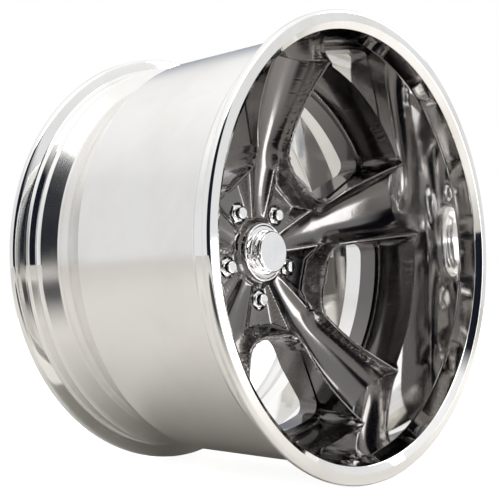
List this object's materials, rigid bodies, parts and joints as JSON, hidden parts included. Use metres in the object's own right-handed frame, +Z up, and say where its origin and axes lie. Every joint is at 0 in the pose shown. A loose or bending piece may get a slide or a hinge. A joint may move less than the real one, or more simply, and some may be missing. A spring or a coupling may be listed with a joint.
{
  "type": "forged racing wheel rim",
  "caption": "Deep-dish forged wheel rim with a scooped-spoke center, push-in center cap, lug nuts on captive washers and a tyre valve.",
  "frame": {"origin": "on the wheel's axis, midway between the flanges", "axes": "+Y along the wheel's axis towards the car (the street side faces -Y), +Z up through a spoke"},
  "size_m": [0.5426, 0.33, 0.5426],
  "materials": {
    "polished_rim": "mirror polished forged aluminium with faint turning lines",
    "gunmetal_paint": "forged aluminium in warm dark gunmetal metallic paint under glossy clear coat",
    "chrome": "bright chrome plate",
    "steel": "machined steel",
    "rubber": "moulded black rubber",
    "brass": "turned brass"
  },
  "bodies": {
    "wheel": {"rim_barrel": "polished_rim", "spoke_center": "gunmetal_paint", "weld_bead": "steel", "lug_seat_1": "steel", "lug_seat_2": "steel", "lug_seat_3": "steel", "lug_seat_4": "steel", "lug_seat_5": "steel", "valve_stem": "chrome", "valve_grommet": "rubber", "valve_washer": "steel", "valve_nut": "chrome", "valve_core": "brass"},
    "lug_washer_1": {"lug_washer_1": "chrome"},
    "lug_nut_1": {"lug_nut_1": "chrome"},
    "lug_washer_2": {"lug_washer_2": "chrome"},
    "lug_nut_2": {"lug_nut_2": "chrome"},
    "lug_washer_3": {"lug_washer_3": "chrome"},
    "lug_nut_3": {"lug_nut_3": "chrome"},
    "lug_washer_4": {"lug_washer_4": "chrome"},
    "lug_nut_4": {"lug_nut_4": "chrome"},
    "lug_washer_5": {"lug_washer_5": "chrome"},
    "lug_nut_5": {"lug_nut_5": "chrome"},
    "center_cap": {"cap_body": "chrome", "cap_disc": "chrome", "cap_screw": "steel", "cap_o_ring": "rubber"},
    "valve_pin": {"valve_pin": "brass"},
    "valve_cap_seal": {"valve_cap_seal": "rubber"},
    "valve_cap": {"valve_cap": "chrome"}
  },
  "joints": [
    {"name": "lug_washer_1_travel", "type": "slide", "parent": "wheel", "child": "lug_washer_1", "axis": [0, -1, 0], "range_m": [0, 0.01775]},
    {"name": "lug_nut_1_turn", "type": "hinge", "parent": "lug_washer_1", "child": "lug_nut_1", "pos_m": [0.03546, 0.02, 0.0488], "axis": [0, -1, 0], "range_deg": [0, 5040]},
    {"name": "lug_washer_2_travel", "type": "slide", "parent": "wheel", "child": "lug_washer_2", "axis": [0, -1, 0], "range_m": [0, 0.01775]},
    {"name": "lug_nut_2_turn", "type": "hinge", "parent": "lug_washer_2", "child": "lug_nut_2", "pos_m": [0.05737, 0.02, -0.01864], "axis": [0, -1, 0], "range_deg": [0, 5040]},
    {"name": "lug_washer_3_travel", "type": "slide", "parent": "wheel", "child": "lug_washer_3", "axis": [0, -1, 0], "range_m": [0, 0.01775]},
    {"name": "lug_nut_3_turn", "type": "hinge", "parent": "lug_washer_3", "child": "lug_nut_3", "pos_m": [0, 0.02, -0.06032], "axis": [0, -1, 0], "range_deg": [0, 5040]},
    {"name": "lug_washer_4_travel", "type": "slide", "parent": "wheel", "child": "lug_washer_4", "axis": [0, -1, 0], "range_m": [0, 0.01775]},
    {"name": "lug_nut_4_turn", "type": "hinge", "parent": "lug_washer_4", "child": "lug_nut_4", "pos_m": [-0.05737, 0.02, -0.01864], "axis": [0, -1, 0], "range_deg": [0, 5040]},
    {"name": "lug_washer_5_travel", "type": "slide", "parent": "wheel", "child": "lug_washer_5", "axis": [0, -1, 0], "range_m": [0, 0.01775]},
    {"name": "lug_nut_5_turn", "type": "hinge", "parent": "lug_washer_5", "child": "lug_nut_5", "pos_m": [-0.03546, 0.02, 0.0488], "axis": [0, -1, 0], "range_deg": [0, 5040]},
    {"name": "cap_pull", "type": "slide", "parent": "wheel", "child": "center_cap", "axis": [0, -1, 0], "range_m": [0, 0.03]},
    {"name": "valve_pin_press", "type": "slide", "parent": "wheel", "child": "valve_pin", "axis": [0.5878, 0, -0.809], "range_m": [0, 0.0008], "stiffness_N_per_m": 600, "springref_m": -0.0005},
    {"name": "valve_cap_travel", "type": "slide", "parent": "wheel", "child": "valve_cap_seal", "axis": [-0.5878, 0, 0.809], "range_m": [0, 0.0103]},
    {"name": "valve_cap_turn", "type": "hinge", "parent": "valve_cap_seal", "child": "valve_cap", "pos_m": [0.1252, 0.036, -0.17232], "axis": [-0.5878, 0, 0.809], "range_deg": [0, 4680]}
  ],
  "couplings": [
    {"joint": "lug_nut_1_turn", "follows": "lug_washer_1_travel", "rad_per_m": 4947.4},
    {"joint": "lug_nut_2_turn", "follows": "lug_washer_2_travel", "rad_per_m": 4947.4},
    {"joint": "lug_nut_3_turn", "follows": "lug_washer_3_travel", "rad_per_m": 4947.4},
    {"joint": "lug_nut_4_turn", "follows": "lug_washer_4_travel", "rad_per_m": 4947.4},
    {"joint": "lug_nut_5_turn", "follows": "lug_washer_5_travel", "rad_per_m": 4947.4},
    {"joint": "valve_cap_turn", "follows": "valve_cap_travel", "rad_per_m": 7913.3}
  ]
}
